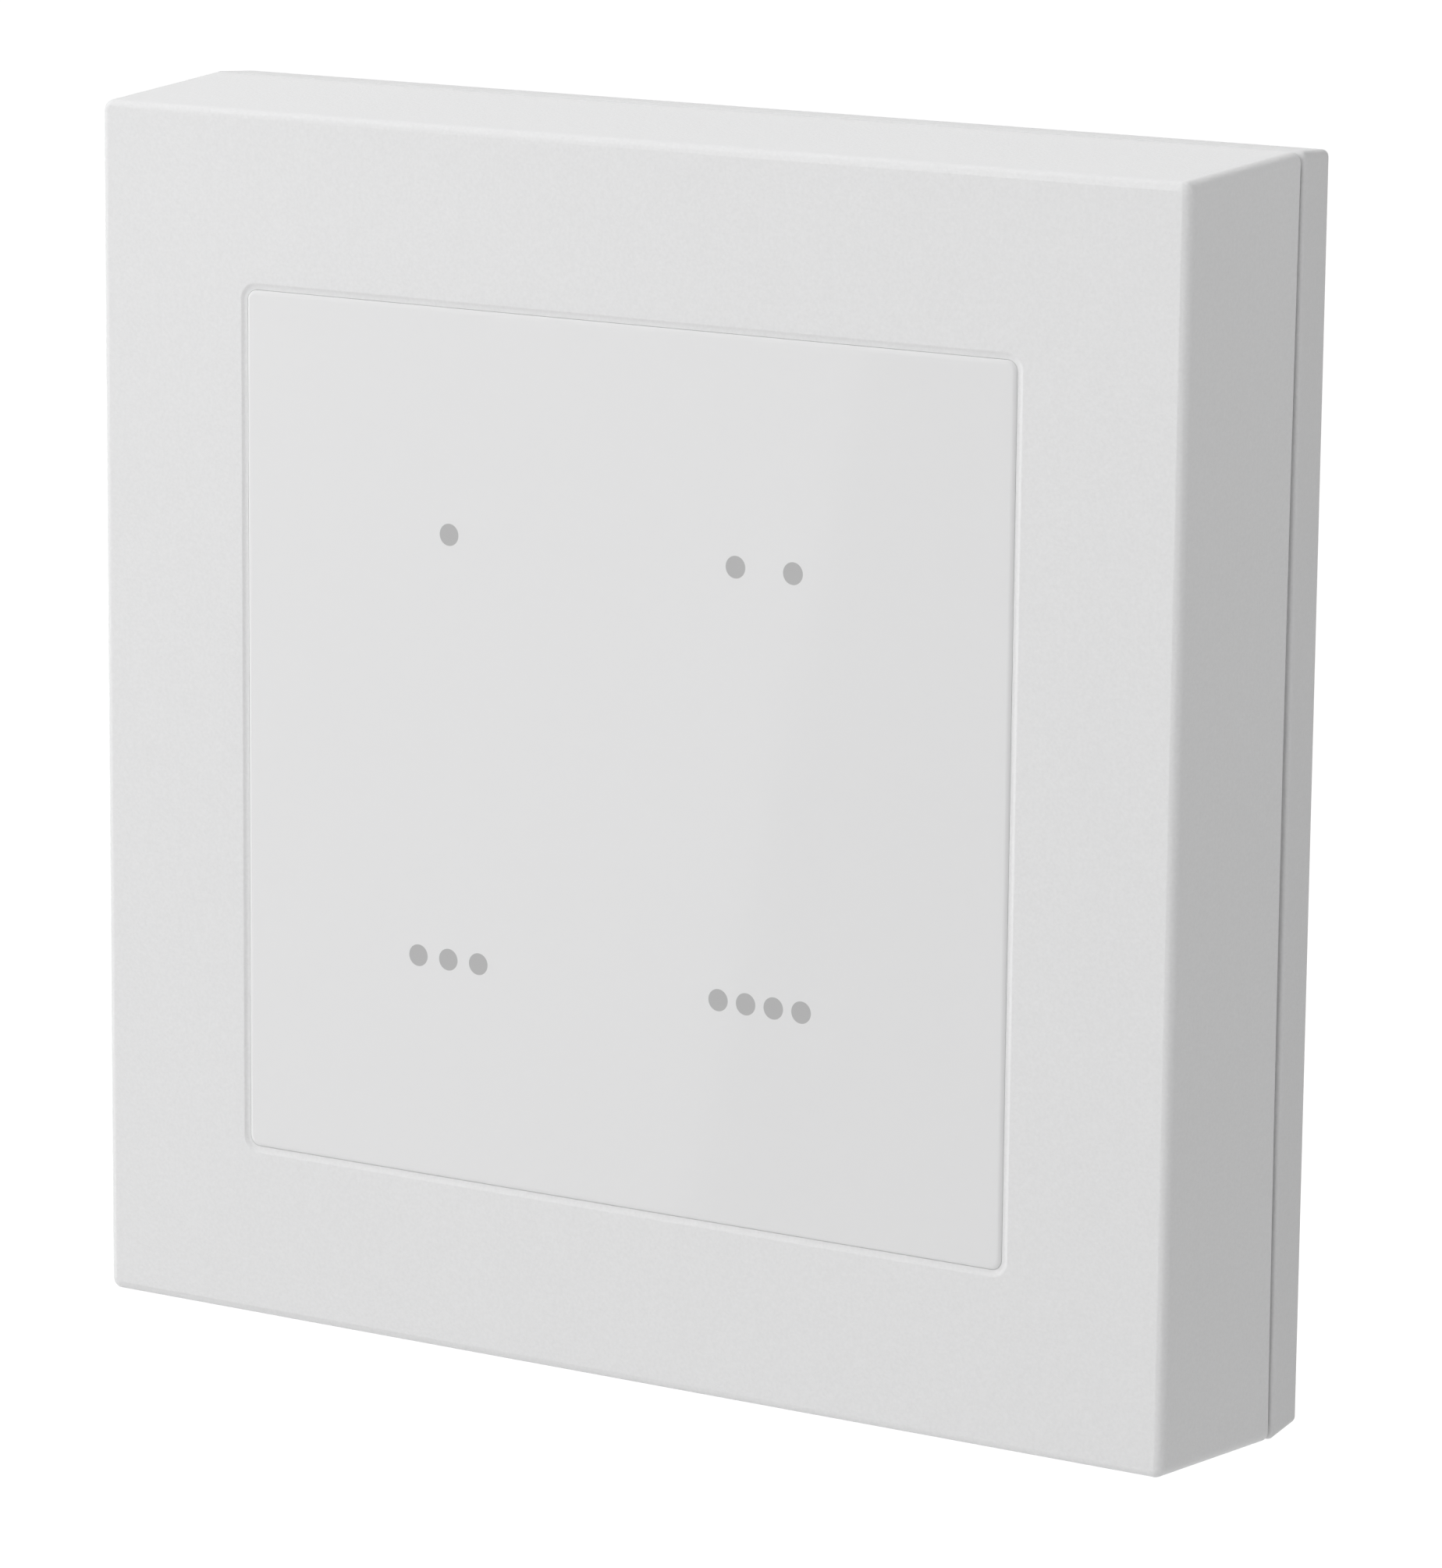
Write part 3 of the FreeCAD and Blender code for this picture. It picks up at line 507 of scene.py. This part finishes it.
def cell_stamp():
    """Fine raised rings and a plus on the can of the coin cell."""
    rise = 0.02 * MM
    ring_radii = (8.6 * MM, 7.9 * MM)
    ring_steps = 96
    ring_profile = ((-0.12, 0.0), (-0.05, 1.0), (0.05, 1.0), (0.12, 0.0))
    plus_offset, plus_size, plus_line = 4.5 * MM, 2.6 * MM, 0.5 * MM
    low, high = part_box("coin_cell")
    centre = (low + high) / 2
    stamp = bmesh.new()
    for radius in ring_radii:
        rings = []
        for reach, height in ring_profile:
            wide = radius + reach * MM
            rings.append(add_ring(stamp, centre.x, centre.z, high.y + rise * height, wide, wide,
                                  ring_steps))
        for inner, outer in zip(rings, rings[1:] + rings[:1]):
            join_rings(stamp, inner, outer)
    add_cross(stamp, centre.x - plus_offset, high.y, centre.z, plus_size, 2 * rise, plus_line,
              rise / 2)
    add_piece("cell_stamp", "coin_cell", cell_metal, stamp)


def plate_marks():
    """Ejector marks on the floor of the wall plate, and an arrow that points up on its back.

    The arrow's outline and its height on the plate are in millimetres.
    """
    floor_depth = 2.0 * MM
    recess_depth = 0.6 * MM
    mark_profile = in_mm((2.0, 0.0), (1.95, 0.04), (1.75, 0.05), (1.7, 0.02), (0.2, 0.02))
    mark_columns = (-26.0 * MM, 0.0, 26.0 * MM)
    mark_rows = (-24.0 * MM, 24.0 * MM)
    arrow = ((-2.4, 0.0), (0.0, 3.4), (2.4, 0.0), (1.0, 0.0), (1.0, -3.6), (-1.0, -3.6),
             (-1.0, 0.0))
    arrow_z = 17.0
    arrow_rise = 0.2 * MM
    slope_x, slope_z = 0.9, 0.92
    back_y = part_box("wall_plate")[1].y
    marks = bmesh.new()
    for x in mark_columns:
        for z in mark_rows:
            add_turned(marks, x, z, back_y - floor_depth, FRONT, mark_profile)
    recess_y = back_y - recess_depth
    foot = [marks.verts.new((x * MM, recess_y, (z + arrow_z) * MM)) for x, z in arrow]
    top = [marks.verts.new((x * slope_x * MM, recess_y + arrow_rise, (z * slope_z + arrow_z) * MM))
           for x, z in arrow]
    join_rings(marks, foot, top)
    marks.faces.new(foot)
    marks.faces.new(top)
    add_piece("plate_marks", "wall_plate", plate_plastic, marks)


switch_leads()
chip_leads()
module_pads()
capacitor_ends()
board_solder()
board_pads()
board_print()
cell_stamp()
plate_marks()


# Camera: its place and turn come from a fit to the edges in the photograph

CAMERA_PLACE = Vector((0.229033, -0.378385, 0.085970))
CAMERA_RIGHT = Vector((0.851687, 0.523964, 0.009487))
CAMERA_UP = Vector((-0.112066, 0.164415, 0.980004))
CAMERA_BACK = Vector((0.511927, -0.835721, 0.198749))
LENS_MM = 107.489
SENSOR_HEIGHT_MM = 24.0


def add_camera():
    data = bpy.data.cameras.new("camera")
    data.sensor_fit = "VERTICAL"
    data.sensor_height = SENSOR_HEIGHT_MM
    data.lens = LENS_MM
    data.clip_start = 0.01
    data.clip_end = 50.0
    camera = bpy.data.objects.new("camera", data)
    bpy.context.scene.collection.objects.link(camera)
    turn = Matrix((CAMERA_RIGHT, CAMERA_UP, CAMERA_BACK)).transposed().to_4x4()
    camera.matrix_world = Matrix.Translation(CAMERA_PLACE) @ turn
    bpy.context.scene.camera = camera


# Light: an even studio with soft lamps, and a tall card whose edge shows in the gloss panel

# Each lamp's name, place, aim, width and height in metres, and strength in watts
LAMPS = (
    ("key_near", (-0.28, -0.3, 0.34), (0, 0, 0), 0.35, 0.35, 1.07),
    ("back_left", (-0.5, 0.3, 0.7), (0, 0, 0), 0.4, 0.4, 2.45),
    ("left", (-0.8, -0.35, 0.1), (0, 0, 0), 0.7, 0.9, 2.5),
    ("front", (0.25, -1.2, 0.35), (0, 0, 0), 0.6, 0.6, 3.2),
    ("front_left", (-0.45, -1.1, 0.25), (0, 0, 0), 0.6, 0.6, 0.95),
    ("right_top", (0.22, -0.02, 0.2), (0.04, 0, 0.03), 0.12, 0.12, 0.118),
    ("right_bottom", (0.22, -0.02, -0.2), (0.04, 0, -0.03), 0.12, 0.12, 0.055),
    ("right_side", (0.6, 0.02, 0.05), (0.04, 0, 0), 0.4, 0.4, 0.09),
)
CARD_PLACE = (-0.695, -1.0, -0.06)
CARD_LEAN = 12.4
CARD_SIZE = (0.3, 0.64)
CARD_STRENGTH = 1.43
WORLD_LEVEL = 0.25
FLOOR_Z = -0.40
FLOOR_REACH = 20.0
FLOOR_GLOW = 0.82
PURE_WHITE = (1.0, 1.0, 1.0, 1.0)
BLACK = (0.0, 0.0, 0.0, 1.0)


def add_area(name, place, target, size_x, size_y, strength):
    """Soft lamp that lights the object and doesn't show in its reflections."""
    data = bpy.data.lights.new(name, "AREA")
    data.shape = "RECTANGLE"
    data.size = size_x
    data.size_y = size_y
    data.energy = strength
    light = bpy.data.objects.new(name, data)
    bpy.context.scene.collection.objects.link(light)
    light.location = place
    light.rotation_euler = (Vector(target) - Vector(place)).to_track_quat("-Z", "Y").to_euler()
    light.visible_glossy = False


def add_plane(name, points):
    mesh = bpy.data.meshes.new(name)
    mesh.from_pydata(points, [], [(0, 1, 2, 3)])
    plane = bpy.data.objects.new(name, mesh)
    bpy.context.scene.collection.objects.link(plane)
    return plane


def corners_of(half_x, half_y):
    return ((-half_x, -half_y), (half_x, -half_y), (half_x, half_y), (-half_x, half_y))


def add_card(place, lean, size, strength):
    """Upright white card that only shows in reflections; lean tips it sideways, in degrees."""
    turn = Matrix.Rotation(math.radians(lean), 3, "Y")
    points = [Vector(place) + turn @ Vector((x, 0, z))
              for x, z in corners_of(size[0] / 2, size[1] / 2)]
    card = add_plane("card", points)
    card.visible_camera = False
    card.visible_diffuse = False
    card.visible_shadow = False
    material, tree, shader = new_material("card")
    shader.inputs["Base Color"].default_value = BLACK
    shader.inputs["Specular IOR Level"].default_value = 0.0
    shader.inputs["Emission Color"].default_value = PURE_WHITE
    shader.inputs["Emission Strength"].default_value = strength
    card.data.materials.append(material)


def seen_directly(tree):
    """1 for the eye, reflections and what shows through glass; 0 for light that falls on things."""
    path = tree.nodes.new("ShaderNodeLightPath")
    value = path.outputs["Is Camera Ray"]
    for ray in ("Is Glossy Ray", "Is Transmission Ray"):
        either = tree.nodes.new("ShaderNodeMath")
        either.operation = "MAXIMUM"
        tree.links.new(value, either.inputs[0])
        tree.links.new(path.outputs[ray], either.inputs[1])
        value = either.outputs["Value"]
    return value


def add_world(level):
    """White where it is seen, and this level for the light that falls on the object."""
    world = bpy.data.worlds.new("world")
    bpy.context.scene.world = world
    world.use_nodes = True
    tree = world.node_tree
    background = tree.nodes["Background"]
    background.inputs["Color"].default_value = PURE_WHITE
    strength = tree.nodes.new("ShaderNodeMapRange")
    strength.inputs["To Min"].default_value = level
    strength.inputs["To Max"].default_value = 1.0
    tree.links.new(seen_directly(tree), strength.inputs["Value"])
    tree.links.new(strength.outputs["Result"], background.inputs["Strength"])


def add_floor(height, reach, glow):
    """Pale floor that looks white where nothing shades it; the glow is only for what is seen."""
    tone_size = 0.4
    dark_tone, light_tone = (0.86, 0.86, 0.86), (0.88, 0.88, 0.88)
    floor = add_plane("floor", [(x, y, height) for x, y in corners_of(reach, reach)])
    material, tree, shader = new_material("floor")
    shader.inputs["Roughness"].default_value = 0.9
    shader.inputs["Specular IOR Level"].default_value = 0.0
    tone = noise(tree, object_coordinates(tree), tone_size, 2.0)
    tree.links.new(wandering_colour(tree, tone, dark_tone, light_tone), shader.inputs["Base Color"])
    shader.inputs["Emission Color"].default_value = PURE_WHITE
    strength = tree.nodes.new("ShaderNodeMath")
    strength.operation = "MULTIPLY"
    strength.inputs[1].default_value = glow
    tree.links.new(seen_directly(tree), strength.inputs[0])
    tree.links.new(strength.outputs["Value"], shader.inputs["Emission Strength"])
    floor.data.materials.append(material)


add_camera()
add_world(WORLD_LEVEL)
add_floor(FLOOR_Z, FLOOR_REACH, FLOOR_GLOW)
add_card(CARD_PLACE, CARD_LEAN, CARD_SIZE, CARD_STRENGTH)
for lamp in LAMPS:
    add_area(*lamp)

view = bpy.context.scene.view_settings
view.view_transform = "Standard"
